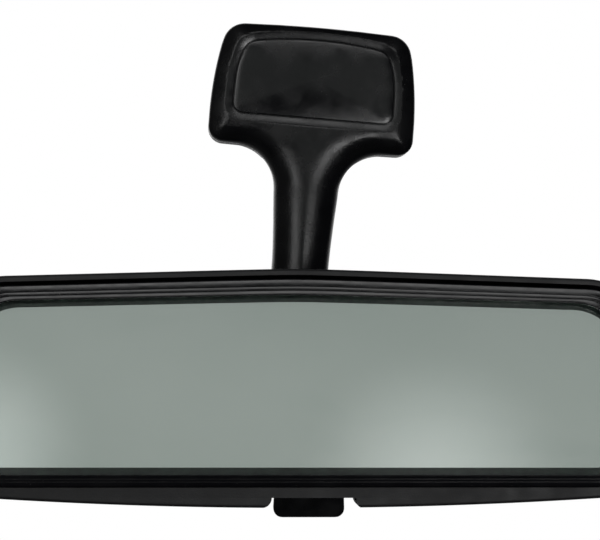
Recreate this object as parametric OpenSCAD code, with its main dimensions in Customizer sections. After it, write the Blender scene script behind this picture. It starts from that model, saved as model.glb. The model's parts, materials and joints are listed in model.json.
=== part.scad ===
// Interior rearview mirror: a prismatic day and night mirror head on a ball joint, hung from a
// moulded arm and base that screws to the roof above the windscreen.
//
// Frame: the origin is the middle of the base's mounting face, on the face. +X is to the right
// as the driver sees it, +Y points away from the driver through the mounting face, +Z is up.
// Pieces of the head are drawn about the ball's centre and set in place by at_head().

/* [Base] */
// Greatest width of the base, near its bottom edge
base_w = 73.2; // [68:0.2:78]
// Height of the base
base_h = 43.2; // [42:0.2:46]
// Depth of the base, from the mounting face to its front
base_d = 15; // [14:0.5:18]
// Distance between the two mounting screws
screw_gap = 40; // [38:1:42]
// Diameter of the hole for each mounting screw
screw_hole_d = 5.5; // [4.5:0.1:6]

/* [Screw cover] */
// Width of the clip-on cover over the screws
cover_w = 61.4; // [58:0.2:62]
// Thickness of the cover's rim
cover_t = 1.9; // [1.5:0.1:2.2]
// Gap all round the cover
cover_gap = 0.3; // [0.2:0.05:0.5]

/* [Arm] */
// Width of the arm just under its flare
arm_w_top = 23; // [21:0.5:25]
// Width of the arm where it passes behind the head
arm_w_low = 19.8; // [18:0.2:21]
// Radius of the flare between the base and the arm
flare_r = 15.3; // [14:0.1:16]
// Drop from the mounting screws to the centre of the ball
ball_drop = 106; // [100:1:115]
// Distance of the ball's centre in front of the mounting face
ball_out = 34; // [34:0.5:38]

/* [Ball joint] */
// Diameter of the ball
ball_d = 12; // [11.8:0.1:12.2]
// Diameter of the stud's shank behind the ball
shank_d = 5.6; // [5:0.1:6]
// Thickness of each nylon seat
seat_t = 1.7; // [1.6:0.1:1.8]
// Clearance on each side of a seat
seat_play = 0.06; // [0.04:0.01:0.08]

/* [Head] */
// Width of the housing
head_w = 240; // [236:1:250]
// Height from the ball's centre to the top of the housing
head_top = 39.7; // [39:0.1:41]
// Height from the ball's centre to the bottom of the housing
head_low = 39.5; // [39:0.1:41]
// Distance of the housing's back behind the ball's centre
head_back = 10.8; // [10.6:0.1:11.2]
// Thickness of the housing's wall
wall = 2; // [1.8:0.1:2.2]
// Roll of the head about the ball as it is left, seen from behind the glass
head_roll = 4.2; // [-8:0.1:8]

/* [Glass] */
// Width of the silvered area
glass_w = 218; // [214:1:224]
// Height of the silvered area above the ball's centre
glass_top = 28.7; // [28:0.1:29]
// Height of the silvered area below the ball's centre
glass_low = 26.2; // [26:0.1:27]
// Thickness of the prism at its top edge
prism_thick = 6.3; // [6:0.1:6.6]
// Thickness of the prism at its bottom edge
prism_thin = 3.2; // [3:0.1:3.6]

/* [Day and night lever] */
// Width of the lever's tab
tab_w = 23.4; // [20:0.1:25]
// How far the tab's tip is from its pin
tab_reach = 12.84; // [12:0.01:14]
// How far the lever sits to the right of the head's middle
lever_off = 4.4; // [0:0.1:6]
// Swing of the lever from day to night
lever_swing = 30; // [29:0.5:31]

/* [Hidden] */
$fn = 48;
tiny = 0.01;

// Base and arm
base_top = base_h / 2;
base_corner_r = 5.5;
base_shoulder_r = 8;
side_bow = 3.6;
edge_in = 4.5;         // how far the front edge is rounded inwards
edge_y = 9;            // how far the rounding runs back
arm_back = -3;         // the arm's back face stands this far off the mounting plane
arm_w_join = arm_w_low + 0.4;
arm_join_z = -62;
flare_z = -base_h / 2 - flare_r;
cover_low = -13.5;
cover_top = 18.7;
cover_corner_r = 6;
cover_shoulder_r = 8;
cover_seat_y = -base_d + 2.6;
plate_w = 56;
plate_h = 26;
plate_t = 2;
plate_z = 1.5;
sleeve_r = 4.4;
sleeve_len = 5;
well_r = 6.8;

// Ball joint, about the ball's centre
ball = [0, -ball_out, -ball_drop];
ball_r = ball_d / 2;
seat_in = ball_r + seat_play;
seat_out = seat_in + seat_t;
pocket_r = seat_out + seat_play;
arm_front = ball_out - base_d;      // the arm's front face behind the ball's centre
stud_flange_r = 6;
stud_flange_t = 1.5;
stem_r = 3;
nut_af = 10;
nut_h = 4;
cap_r = 7;
cap_t = 1.6;
socket_r = 11.8;
socket_back = 2.4;
socket_front = -10.2;
clamp_back = 5;
clamp_screw_ring = 9.7;
clamp_screw_r = 1.1;

// Head outlines
head_slope = 1.8;      // slope of the housing's gabled top, in degrees
glass_slope = 1.5;
apex = 8;              // length over which the gable's peak is rounded
head_sag = 4.5;        // rise of the housing's bottom edge from its middle to its ends
head_rt = 24;
head_rb = 17;
glass_rt = 17;
glass_rb = 9;
bezel_w = head_w - 5.6;
bezel_top = head_top - 3.3;
bezel_low = 32.4;
bezel_rt = 21.5;
bezel_rb = 15;
margin = 2.2;          // clear border of the glass round the silvering
lip = 1;               // overlap of the bezel's lip on the glass
rim_front = -21.5;
glass_front = -22.2;
bezel_front = -24;
bezel_back = -15.5;
dome_start = -12;      // where the housing's back begins to round
dome_in = 26;          // how far the rounding draws the outline in
backing_t = 0.25;
post_at = [72, 17];    // posts behind the glass
pad_r = 4;
pad_t = 1.4;
glass_z0 = -glass_low - margin - lip;
glass_z1 = glass_top + margin + lip;
wedge = atan((prism_thick - prism_thin) / (glass_z1 - glass_z0));

// Day and night mechanism, as [y, z] about the ball's centre
pivot = [-8, 24];
pivot_r = 1.5;
lever_pivot = [-10, -31];
lever_pin_r = 1.2;
pin_play = 0.05;
fork_reach = 8;
day_tilt = lever_swing / 2;
link = [lever_pivot[0] - fork_reach * sin(day_tilt), lever_pivot[1] + fork_reach * cos(day_tilt)];
hub_r = 3.2;
hub_w = 30;
tab_t = 3;
notch_w = 30.5;
notch_top = -36.1;
slot_back = -2.5;
spring_x = lever_off + 11.5;
spring_w = 4.6;
spring_t = 0.4;
spring_post_z = -20;

// ---- Helpers ----

// Points on an arc about [cx, cz]
function arc(cx, cz, r, from, to, n = 6) =
    [for (i = [0:n]) let (a = from + (to - from) * i / n) [cx + r * cos(a), cz + r * sin(a)]];

// The other half of an outline, mirrored in X and in reverse order
function mirrored(points) =
    [for (i = [len(points) - 1:-1:0]) if (points[i][0] > tiny) [-points[i][0], points[i][1]]];

// Height lost along a gabled top with a rounded peak
function gable(x, slope) = tan(slope) * (sqrt(x * x + apex * apex) - apex);

// Right half of a head outline, from the bottom middle round to the top middle
function half_outline(w, top, low, slope, sag, rt, rb) =
    let (xb = w / 2 - rb,
         xt = w / 2 - rt,
         zb = -low + sag * pow(2 * xb / w, 2),
         zt = top - gable(xt, slope))
    concat([for (i = [0:sag > 0 ? 9 : 0]) let (x = xb * i / 10) [x, -low + sag * pow(2 * x / w, 2)]],
           arc(xb, zb + rb, rb, -86, 0, 7),
           arc(xt, zt - rt, rt, 0, 88, 7),
           [for (i = [9:-1:0]) let (x = xt * i / 10) [x, top - gable(x, slope)]]);

function whole(half) = concat(half, mirrored(half));

// Housing, glass and bezel outlines, drawn in by d on every side
function head_outline(d = 0) =
    whole(half_outline(head_w - 2 * d, head_top - d, head_low - d, head_slope,
                       head_sag, max(head_rt - d, 3), max(head_rb - d, 3)));
function glass_outline(d = 0) =
    whole(half_outline(glass_w - 2 * d, glass_top - d, glass_low - d, glass_slope,
                       0, glass_rt - d, glass_rb - d));
function bezel_outline(d = 0) =
    whole(half_outline(bezel_w - 2 * d, bezel_top - d, bezel_low - d, head_slope,
                       0, bezel_rt - d, bezel_rb - d));

// An outline part of the way from one outline to another
function between(a, b, t) = [for (i = [0:len(a) - 1]) a[i] * (1 - t) + b[i] * t];

// Unit normal that points into a counter-clockwise outline at its point i
function inward(points, i) =
    let (n = len(points),
         e = points[(i + 1) % n] - points[(i + n - 1) % n])
    [-e[1], e[0]] / norm(e);

// A counter-clockwise outline moved inwards by d
function shifted(points, d) = [for (i = [0:len(points) - 1]) points[i] + d * inward(points, i)];

// An outline standing upright at one depth
function ring(points, y) = [for (p = points) [p[0], y, p[1]]];

// Triangles that close a ring of n points, in strips between its right and left halves; first
// is the number of the ring's first point
function cap(n, first) =
    [for (i = [0:n / 2 - 1])
         let (right = i, above = i + 1, left_above = n - i - 1, left = (n - i) % n)
         for (f = concat(i < n / 2 - 1 ? [[right, above, left_above]] : [],
                         i > 0 ? [[right, left_above, left]] : []))
             [f[0] + first, f[1] + first, f[2] + first]];

// Solid through a list of rings, from the back one to the front one, closed by flat ends, or
// by joining the last ring to the first when hollow is true
module loft(rings, hollow = false) {
    n = len(rings[0]);
    m = len(rings);
    points = [for (r = rings) for (p = r) p];
    sides = [for (k = [0:hollow ? m - 1 : m - 2]) for (i = [0:n - 1])
                 let (a = k * n + i,
                      b = k * n + (i + 1) % n,
                      c = ((k + 1) % m) * n + (i + 1) % n,
                      d = ((k + 1) % m) * n + i)
                 for (f = [[a, c, b], [a, d, c]]) f];
    caps = hollow ? [] : concat(cap(n, 0), [for (f = cap(n, (m - 1) * n)) [f[2], f[1], f[0]]]);
    polyhedron(points, concat(sides, caps), convexity = 8);
}

// Extrusion of an upright outline between two depths
module slab(back, front) {
    translate([0, back, 0]) rotate([90, 0, 0]) linear_extrude(back - front) children();
}

// Cylinder along Y between two depths
module rod_y(r, back, front) {
    translate([0, back, 0]) rotate([90, 0, 0]) cylinder(r = r, h = back - front);
}

// Ball with its poles on the Y axis
module ball_y(r) {
    rotate([90, 0, 0]) sphere(r = r);
}

// Cylinder along X, centred
module rod_x(r, length) {
    rotate([0, 90, 0]) cylinder(r = r, h = length, center = true);
}

module at_head() {
    translate(ball) rotate([0, -head_roll, 0]) children();
}

module both_sides() {
    children();
    mirror([1, 0, 0]) children();
}

// ---- Base and arm ----

base_x = base_w / 2;

// Right half of the base and arm outline, from the arm's tip round to the base's top middle
arm_end_r = arm_w_low / 2;
base_half = concat(
    arc(0, -ball_drop, arm_end_r, -90, -8, 7),
    [[arm_end_r, -ball_drop + 4],
     [arm_end_r + 0.1, (arm_join_z - ball_drop) / 2],
     [arm_w_join / 2, arm_join_z],
     [arm_w_join / 2 + 0.65, arm_join_z + 12]],
    arc(arm_w_top / 2 + flare_r, flare_z, flare_r, 180, 96, 8),
    arc(base_x - base_corner_r, -base_top + base_corner_r, base_corner_r, -84, 0, 5),
    [for (i = [1:5]) let (z = -12 + 26 * i / 5) [base_x - side_bow * pow((z + 12) / 30, 2), z]],
    arc(base_x - 2.8 - base_shoulder_r, base_top - 0.55 - base_shoulder_r, base_shoulder_r,
        20, 84, 5),
    [[14, base_top - 0.15], [0, base_top]]);
base_outline = whole(base_half);

// Right half of the cover's outline
cover_half = concat(
    [[0, cover_low]],
    arc(cover_w / 2 - cover_corner_r, cover_low + cover_corner_r, cover_corner_r, -88, 0, 5),
    [[cover_w / 2 - 0.15, 0], [cover_w / 2 - 0.9, 6]],
    arc(cover_w / 2 - 1.9 - cover_shoulder_r, cover_top - 1.7 - cover_shoulder_r,
        cover_shoulder_r, 12, 80, 6),
    [[12, cover_top - 0.55], [6, cover_top - 0.14], [0, cover_top]]);
cover_outline = whole(cover_half);

// How far a point of the rounded front edge is drawn in, for t from 0 at its back to 1
function edge(t) = edge_in * (1 - sqrt(1 - t * t));

module base_arm() color("#18191b") {
    difference() {
        loft([ring(shifted(base_outline, 0.7), 0),
              ring(base_outline, -1.2),
              for (t = [0, 0.35, 0.6, 0.8, 0.93, 1])
                  ring(shifted(base_outline, edge(t)), -base_d + edge_y * (1 - t))]);
        // the arm stands off the mounting plane
        translate([-arm_w_top, arm_back, -ball_drop - 20])
            cube([2 * arm_w_top, 10, 20 + ball_drop - base_top - 4]);
        // seat of the cover, its two clip slots and the screw wells
        slab(cover_seat_y, -base_d - 1) polygon(cover_outline);
        for (z = [-8, 13]) translate([-4, cover_seat_y - tiny, z - 1]) cube([8, 5, 2]);
        both_sides() translate([screw_gap / 2, 0, 0]) {
            rod_y(well_r, -sleeve_len, -base_d);
            rod_y(sleeve_r, 1, -base_d);
        }
        // recess of the steel plate
        translate([-plate_w / 2 - 0.2, -plate_t - 0.1, plate_z - plate_h / 2 - 0.2])
            cube([plate_w + 0.4, plate_t + 1, plate_h + 0.4]);
        // bore for the stud, and the recess of its nut and cap
        translate([0, 0, -ball_drop]) {
            rod_y(stem_r + 0.05, arm_back + 0.5, -base_d - 1);
            rod_y(cap_r, arm_back + 0.5, arm_back - cap_t - nut_h - 0.3);
        }
    }
}

module base_plate() color("#a9acae") {
    difference() {
        translate([-plate_w / 2, -plate_t, plate_z - plate_h / 2])
            cube([plate_w, plate_t, plate_h]);
        both_sides() translate([screw_gap / 2, 0, 0]) rod_y(sleeve_r + 0.05, 1, -plate_t - 1);
    }
}

module screw_sleeves() color("#b9bcbe") {
    both_sides() translate([screw_gap / 2, 0, 0]) difference() {
        rod_y(sleeve_r, 0, -sleeve_len);
        rod_y(screw_hole_d / 2, 1, -sleeve_len - 1);
    }
}

module screw_cover() color("#1b1c1f") {
    rim_y = cover_seat_y - cover_t;
    slab(cover_seat_y, rim_y) polygon(shifted(cover_outline, cover_gap));
    // face, gently crowned, inside a narrow groove
    loft([ring(shifted(cover_outline, 2.3), rim_y + tiny),
          ring(shifted(cover_outline, 2.3), rim_y - 0.25),
          ring(shifted(cover_outline, 2.9), rim_y - 0.5),
          ring(shifted(cover_outline, 5.4), rim_y - 0.68)]);
    // clips
    for (z = [-8, 13]) translate([-3.6, cover_seat_y - tiny, z - 0.7]) cube([7.2, 4, 1.4]);
}

// ---- Stud ----

module ball_stud() color("#c4c7c9") {
    translate(ball) {
        ball_y(ball_r);
        rod_y(shank_d / 2, arm_front - tiny, ball_r - 1.5);
        rod_y(stud_flange_r, arm_front, arm_front - stud_flange_t);
        rod_y(stem_r, ball_out + arm_back - cap_t - 0.4, arm_front - tiny);
    }
}

module stud_nut() color("#b4b7b9") {
    translate([0, arm_back - cap_t - 0.15, -ball_drop]) difference() {
        rotate([90, 0, 0]) cylinder(r = nut_af / 2 / cos(30), h = nut_h, $fn = 6);
        rod_y(stem_r + 0.05, 1, -nut_h - 1);
    }
}

module stud_cap() color("#1a1b1d") {
    translate([0, 0, -ball_drop]) rod_y(cap_r - 0.1, arm_back, arm_back - cap_t);
}

// ---- Ball joint ----

// A slice of the spherical shell between the ball and its pocket
module seat_slice(back, front) {
    intersection() {
        difference() {
            ball_y(seat_out);
            ball_y(seat_in);
        }
        rod_y(seat_out + 1, back, front);
    }
}

module rear_seat() color("#e6e3d8") {
    at_head() difference() {
        seat_slice(4.8, 1.4);
        rod_y(5.2, 9, 0);
    }
}

module front_seat() color("#e6e3d8") {
    at_head() difference() {
        seat_slice(-1, -seat_out - 1);
        rod_y(1.2, 0, -seat_out - 1);
    }
}

// Holes or screws on the ring round the ball
module clamp_ring() {
    for (a = [90, 210, 330])
        rotate([0, a, 0]) translate([clamp_screw_ring, 0, 0]) children();
}

module socket_carrier() color("#2a2c2f") {
    ear_x = 21.5;
    ear_w = 5;
    link_x = 5.6;
    link_w = 2.4;
    at_head() difference() {
        union() {
            rod_y(socket_r, socket_back, socket_front);
            // backbone between the top pivot and the link pin
            slab(socket_front + 2.2, socket_front)
                polygon([[-24, 16], [-12, -12], [lever_off - 7, -20], [lever_off + 7, -20],
                         [13, -12], [24, 16], [24, 20.5], [-24, 20.5]]);
            both_sides() translate([ear_x, 0, 0]) {
                translate([0, pivot[0], pivot[1]]) rod_x(3.4, ear_w);
                translate([-ear_w / 2, socket_front, 12])
                    cube([ear_w, pivot[0] - socket_front + 3.4, pivot[1] - 12]);
            }
            for (x = [-link_x, link_x]) translate([lever_off + x, 0, 0]) {
                translate([0, link[0], link[1]]) rod_x(2.5, link_w);
                translate([-link_w / 2, link[0] - 1.2, link[1]])
                    cube([link_w, socket_front + 2.2 - link[0] + 1.2, -19 - link[1]]);
            }
        }
        ball_y(pocket_r);
        rod_y(pocket_r - 1.1, -2, -8.7);
        translate([0, pivot[0], pivot[1]]) rod_x(pivot_r + pin_play, 60);
        translate([lever_off, link[0], link[1]]) rod_x(lever_pin_r, 20);
        clamp_ring() rod_y(clamp_screw_r, 5, -4);
    }
}

module clamp_plate() color("#9da0a3") {
    at_head() difference() {
        rod_y(socket_r, clamp_back, socket_back);
        ball_y(pocket_r);
        rod_y(6.1, 9, 0);
        clamp_ring() {
            rod_y(clamp_screw_r + 0.1, 9, 0);
            rod_y(1.75, 9, clamp_back - 0.8);
        }
    }
}

module clamp_screws() color("#c9cbcd") {
    at_head() clamp_ring() {
        rod_y(clamp_screw_r - 0.05, clamp_back - 0.5, -3.5);
        difference() {
            rod_y(1.65, clamp_back, clamp_back - 0.78);
            translate([-1.1, clamp_back - 0.4, -0.22]) cube([2.2, 1, 0.44]);
            translate([-0.22, clamp_back - 0.4, -1.1]) cube([0.44, 1, 2.2]);
        }
    }
}

// Conical disc spring that presses the front seat against the ball
module disc_spring() color("#8d9094") {
    at_head() rotate([90, 0, 0]) rotate_extrude()
        polygon([[3.6, 7.05], [6.4, 8.15], [6.4, 8.6], [3.6, 7.5]]);
}

module link_pin() color("#cfd1d3") {
    at_head() translate([lever_off, link[0], link[1]]) rod_x(lever_pin_r - 0.02, 13.4);
}

// ---- Head ----

// How far the housing's outline is drawn in at depth y
function dome(y, back) =
    let (u = (y - dome_start) / (back - dome_start))
    y <= dome_start ? 0 : dome_in * (1 - sqrt(max(0, 1 - u * u)));

module head_form(d, back, front) {
    loft([for (t = [1, 0.985, 0.94, 0.86, 0.74, 0.58, 0.38, 0.18, 0])
              let (y = dome_start + (back - dome_start) * t)
              ring(head_outline(dome(y, back) + d), y),
          ring(head_outline(d), front)]);
}

module rear_housing() color("#1d1e20") {
    lever_rib_x = 17.4;
    pivot_rib_x = 28;
    at_head() {
        difference() {
            union() {
                difference() {
                    union() {
                        head_form(0, head_back, rim_front + 0.9);
                        loft([ring(head_outline(0), rim_front + 0.95),
                              ring(head_outline(0.25), rim_front + 0.4),
                              ring(head_outline(0.8), rim_front)]);
                    }
                    head_form(wall, head_back - wall, rim_front + 2.2);
                    slab(rim_front + 3, rim_front - 1)
                        polygon(whole(half_outline(head_w - 2 * wall, head_top - wall,
                                                   bezel_low + 0.3, head_slope, 0,
                                                   head_rt - wall, bezel_rb + 0.8)));
                }
                // posts behind the glass
                for (x = [-1, 1], z = [-1, 1])
                    translate([x * post_at[0], 0, z * post_at[1]])
                        rod_y(3, head_back - wall + 0.5, post_y(z * post_at[1]));
                // ribs that hold the top pivot pin and the lever's pin
                both_sides() {
                    translate([pivot_rib_x, 0, 0]) {
                        translate([0, pivot[0], pivot[1]]) rod_x(3.4, 4);
                        translate([-2, pivot[0], pivot[1] - 3.4]) cube([4, 14.9, 6.8]);
                    }
                }
                for (x = [-lever_rib_x, lever_rib_x]) translate([lever_off + x, 0, 0]) {
                    translate([0, lever_pivot[0], lever_pivot[1]]) rod_x(3.2, 3.4);
                    translate([-1.7, lever_pivot[0] - 3.2, -38.4]) cube([3.4, 6.4, 7.4]);
                }
                // post of the lever's spring
                translate([spring_x, 0, spring_post_z])
                    rod_y(2.4, head_back - wall + 0.3, spring_y + spring_t + 0.05);
                // lugs that centre the bezel
                for (x = [-75, -25, 25, 75])
                    translate([x - 3, bezel_back - 4, head_top - 1.2 - gable(x, head_slope) - 2.05])
                        cube([6, 7, 2]);
            }
            rod_y(10.5, 20, 0);
            // notch in the skirt and the slot that the lever swings in
            slab(slot_back, rim_front - 1) hull() {
                for (x = [-1, 1], z = [notch_top - 2, -44])
                    translate([lever_off + x * (notch_w / 2 - 2), z]) circle(r = 2);
            }
            translate([0, pivot[0], pivot[1]]) rod_x(pivot_r, 64);
            translate([lever_off, lever_pivot[0], lever_pivot[1]]) rod_x(lever_pin_r, 44);
            translate([spring_x, 0, spring_post_z]) rod_y(0.9, 0, -10);
        }
    }
}

// Closed outlines of the bezel, from its outer edge to the opening
module bezel() color("#101113") {
    opening = glass_outline(-margin);
    pocket = glass_outline(-margin - lip - 0.3);
    outer = bezel_outline();
    at_head() loft([ring(outer, bezel_back),
                    ring(outer, bezel_front + 1.6),
                    ring(between(outer, opening, 0.08), bezel_front + 1.2),
                    ring(between(outer, opening, 0.44), bezel_front + 1.1),
                    ring(between(outer, opening, 0.48), bezel_front + 0.7),
                    ring(between(outer, opening, 0.68), bezel_front + 0.6),
                    ring(between(outer, opening, 0.72), bezel_front + 0.2),
                    ring(between(outer, opening, 0.92), bezel_front),
                    ring(opening, bezel_front + 0.3),
                    ring(opening, glass_front - 0.1),
                    ring(pocket, glass_front - 0.1),
                    ring(pocket, bezel_back)], hollow = true);
}

// Depth of the prism's back face, and of the posts' ends, at height z
function prism_back(z) =
    glass_front + prism_thin + (prism_thick - prism_thin) * (z - glass_z0) / (glass_z1 - glass_z0);
function post_y(z) = prism_back(z) + backing_t + pad_t + 0.3;

function back_ring(points, gap) = [for (p = points) [p[0], prism_back(p[1]) + gap, p[1]]];

module prism_glass() color("#b9d3c6") {
    outline = glass_outline(-margin - lip);
    at_head() loft([back_ring(outline, 0), ring(outline, glass_front)]);
}

module silver_backing() color("#c6c9c8") {
    at_head() loft([back_ring(glass_outline(), backing_t), back_ring(glass_outline(), 0.02)]);
}

module glass_pads() color("#3a3b3d") {
    at_head() for (x = [-1, 1], z = [-1, 1])
        translate([x * post_at[0], prism_back(z * post_at[1]) + backing_t + 0.05,
                   z * post_at[1]])
            rotate([-wedge, 0, 0]) rod_y(pad_r, pad_t, 0);
}

// ---- Day and night mechanism ----

module pivot_pin() color("#cfd1d3") {
    at_head() translate([0, pivot[0], pivot[1]]) rod_x(pivot_r - 0.01, 60);
}

module lever_pin() color("#cfd1d3") {
    at_head() translate([lever_off, lever_pivot[0], lever_pivot[1]])
        rod_x(lever_pin_r - 0.01, 38);
}

// Leaf that presses on the lever's hub
spring_y = lever_pivot[0] + hub_r + 0.15;

module lever_spring() color("#a2a5a8") {
    at_head() difference() {
        translate([spring_x - spring_w / 2, spring_y, -36])
            cube([spring_w, spring_t, 36 + spring_post_z + 3]);
        translate([spring_x, 0, spring_post_z]) rod_y(1, 0, -10);
    }
}

module spring_screw() color("#c9cbcd") {
    at_head() translate([spring_x, 0, spring_post_z]) {
        rod_y(0.85, -0.4, spring_y - 0.5);
        rod_y(1.9, spring_y - 0.02, spring_y - 1.1);
    }
}

module day_night_lever() color("#0f1011") {
    slot_w = 2 * (lever_pin_r + pin_play);
    at_head() translate([lever_off, lever_pivot[0], lever_pivot[1]]) rotate([day_tilt, 0, 0])
        difference() {
            union() {
                rod_x(hub_r, hub_w);
                // tab, rounded at its lower corners
                slab(tab_t / 2, -tab_t / 2) hull() {
                    for (x = [-1, 1])
                        translate([x * (tab_w / 2 - 3), 3 - tab_reach]) circle(r = 3);
                    translate([-tab_w / 2, -2]) square([tab_w, 2]);
                }
                // fork that takes the link pin
                translate([-3.6, -slot_w / 2 - 1.6, 0])
                    cube([7.2, slot_w + 3.2, fork_reach + 2.2]);
            }
            rod_x(lever_pin_r + pin_play, hub_w + 2);
            translate([-5, -slot_w / 2, fork_reach - 1.6]) cube([10, slot_w, 5]);
        }
}

base_arm();
base_plate();
screw_sleeves();
screw_cover();
ball_stud();
stud_nut();
stud_cap();
rear_seat();
front_seat();
socket_carrier();
clamp_plate();
clamp_screws();
disc_spring();
link_pin();
rear_housing();
bezel();
prism_glass();
silver_backing();
glass_pads();
pivot_pin();
lever_pin();
lever_spring();
spring_screw();
day_night_lever();
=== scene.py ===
"""Looks of an interior rearview mirror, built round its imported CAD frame.

Pieces are modelled in millimetres and set in metres at the end. Pieces of the base are drawn in
the row frame: +X to the driver's right, +Y through the mounting face, +Z up. Pieces of the head are
drawn about the ball's centre and rolled with the head.
"""
import json
import math

import bmesh
import bpy
import numpy as np
from mathutils import Matrix, Vector


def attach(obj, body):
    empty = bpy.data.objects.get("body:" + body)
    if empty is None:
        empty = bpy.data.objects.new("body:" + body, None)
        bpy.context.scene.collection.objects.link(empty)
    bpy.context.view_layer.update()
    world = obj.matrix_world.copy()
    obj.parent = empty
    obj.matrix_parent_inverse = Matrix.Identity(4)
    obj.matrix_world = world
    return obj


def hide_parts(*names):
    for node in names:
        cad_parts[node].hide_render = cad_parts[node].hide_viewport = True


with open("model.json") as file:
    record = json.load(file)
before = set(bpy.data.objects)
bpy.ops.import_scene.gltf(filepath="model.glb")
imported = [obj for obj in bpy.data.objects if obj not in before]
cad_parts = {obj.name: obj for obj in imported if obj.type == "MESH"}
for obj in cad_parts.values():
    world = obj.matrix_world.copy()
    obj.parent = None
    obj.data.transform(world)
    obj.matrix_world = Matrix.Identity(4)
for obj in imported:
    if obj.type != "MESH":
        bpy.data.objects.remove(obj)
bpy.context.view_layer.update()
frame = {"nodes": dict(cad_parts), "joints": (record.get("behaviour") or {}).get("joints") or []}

# ---- Sizes, in millimetres ----

MM = 0.001
JOINTS = {joint["name"]: joint for joint in frame["joints"]}
BALL = Vector(JOINTS["ball_pitch"]["pos_m"]) / MM
HEAD_AXIS = JOINTS["ball_yaw"]["axis"]
HEAD_ROLL = math.atan2(HEAD_AXIS[0], HEAD_AXIS[2])
ROW = Matrix.Scale(MM, 4)
HEAD = Matrix.Scale(MM, 4) @ Matrix.Translation(BALL) @ Matrix.Rotation(HEAD_ROLL, 4, "Y")

FLAT_STEPS = 44        # steps along each nearly straight side of a head outline
CORNER_STEPS = 18      # steps round each of its corners

BASE_DEPTH = 15
BASE_HALF_H = 21.6
BASE_HALF_W = 36.6
BASE_CROWN = 0.7       # how far the front falls back from its middle to its sides
EDGE_ROUND = 1         # radius of the base's front edge
FLANGE_W = 7           # width of the slope from that edge up to the cover
FLANGE_DROP = 2.6
ARM_ROUND = 12.5       # how far the arm's front is rounded inwards on each side
ARM_DROP = 7.5
ARM_BACK = -3
SCREW_X = 20
SLEEVE_R = 4.4
SLEEVE_LEN = 5
WELL_R = 6.8
SEAT_Y = -12.4         # seat of the cover in the base
COVER_GAP = 0.22
RIM_OVERLAP = -0.8     # the cover's rim reaches out over the rounded edge of its seat
CLIP_HEIGHTS = (-8, 13)
PLATE_W, PLATE_T, PLATE_H = 56, 2, 26
PLATE_Z = 1.5          # height of its middle
CAP_R = 7
CAP_T = 1.6

ROOF_SLOPE = 1.8       # slope of the housing's and bezel's gabled tops, in degrees
GLASS_FRONT = -22.2
PRISM_THICK = 6.3
PRISM_THIN = 3.2
CLEAR = 2.2            # clear border of the glass round the silvering
LIP = 1                # overlap of the bezel on the glass
GLASS_TOP = 28.7
GLASS_LOW = 26.2
HEAD_BACK = 10.8
WALL = 2
DOME_START = -12
DOME_IN = 26
RIM_FRONT = -21.5
RIM_ROUND = 1.1
BEZEL_BACK = -15.5
POST_X, POST_Z = 72, 17
MOUTH_R = 10.5         # hole in the housing's back, round the stud
MOUTH_ROUND = 1.2
PIVOT_Y, PIVOT_Z = -8, 24
LEVER_X, LEVER_Y, LEVER_Z = 4.4, -10, -31
LEVER_TILT = math.radians(15)
NOTCH_W = 30.5
NOTCH_TOP = -36.1
SKIRT_LOW = -39.5
SPRING_X, SPRING_Y, SPRING_Z = LEVER_X + 11.5, -6.65, -20


# ---- Outlines ----

def arc(cx, cz, r, start, end, steps=CORNER_STEPS):
    """Points on an arc about (cx, cz), with its angles in degrees."""
    angles = [math.radians(start + (end - start) * i / steps) for i in range(steps + 1)]
    return [(cx + r * math.cos(a), cz + r * math.sin(a)) for a in angles]


def whole(half):
    """A closed outline from its right half, which runs from its bottom middle to its top middle."""
    return np.array(half + [(-x, z) for x, z in reversed(half) if x > 0.001])


def shifted(outline, distance):
    """The outline moved inwards, by one distance or by one for each point."""
    along = np.roll(outline, -1, 0) - np.roll(outline, 1, 0)
    inward = np.stack([-along[:, 1], along[:, 0]], 1) / np.linalg.norm(along, axis=1)[:, None]
    return outline + inward * np.reshape(distance, (-1, 1))


def gable(x, slope, rounding=8):
    """Height lost at x along a gabled top with a rounded peak."""
    return math.tan(math.radians(slope)) * (math.hypot(x, rounding) - rounding)


def head_shape(width, top, low, slope, sag, r_top, r_low):
    """A wide outline: round corners, a gabled top, and a bottom that rises to its ends by sag."""
    x_low, x_top = width / 2 - r_low, width / 2 - r_top

    def bottom(x):
        return -low + sag * (2 * x / width) ** 2

    def roof(x):
        return top - gable(x, slope)

    steps = range(FLAT_STEPS)
    return whole([(x, bottom(x)) for x in (x_low * i / FLAT_STEPS for i in steps)]
                 + arc(x_low, bottom(x_low) + r_low, r_low, -87, 0)
                 + arc(x_top, roof(x_top) - r_top, r_top, 0, 88)
                 + [(x, roof(x)) for x in (x_top * (1 - i / FLAT_STEPS) for i in steps[1:])]
                 + [(0, top)])


def housing_outline(inset=0.0):
    """The housing's outer edge, drawn in evenly by inset."""
    return head_shape(width=240 - 2 * inset, top=39.7 - inset, low=39.5 - inset,
                      slope=ROOF_SLOPE, sag=4.5, r_top=max(24 - inset, 3), r_low=max(17 - inset, 3))


def glass_outline(inset=0.0):
    """The silvered area. The glass's clear border and the bezel's lip lie at negative insets."""
    return head_shape(width=218 - 2 * inset, top=GLASS_TOP - inset, low=GLASS_LOW - inset,
                      slope=1.5, sag=0, r_top=17 - inset, r_low=9 - inset)


def bezel_outline():
    """The bezel's outer edge."""
    return head_shape(width=234.4, top=36.4, low=32.4,
                      slope=ROOF_SLOPE, sag=0, r_top=21.5, r_low=15)


def opening_outline():
    """The housing's front opening, which the bezel fills but for a parting gap."""
    return head_shape(width=236, top=37.7, low=32.7,
                      slope=ROOF_SLOPE, sag=0, r_top=22, r_low=15.8)


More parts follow.
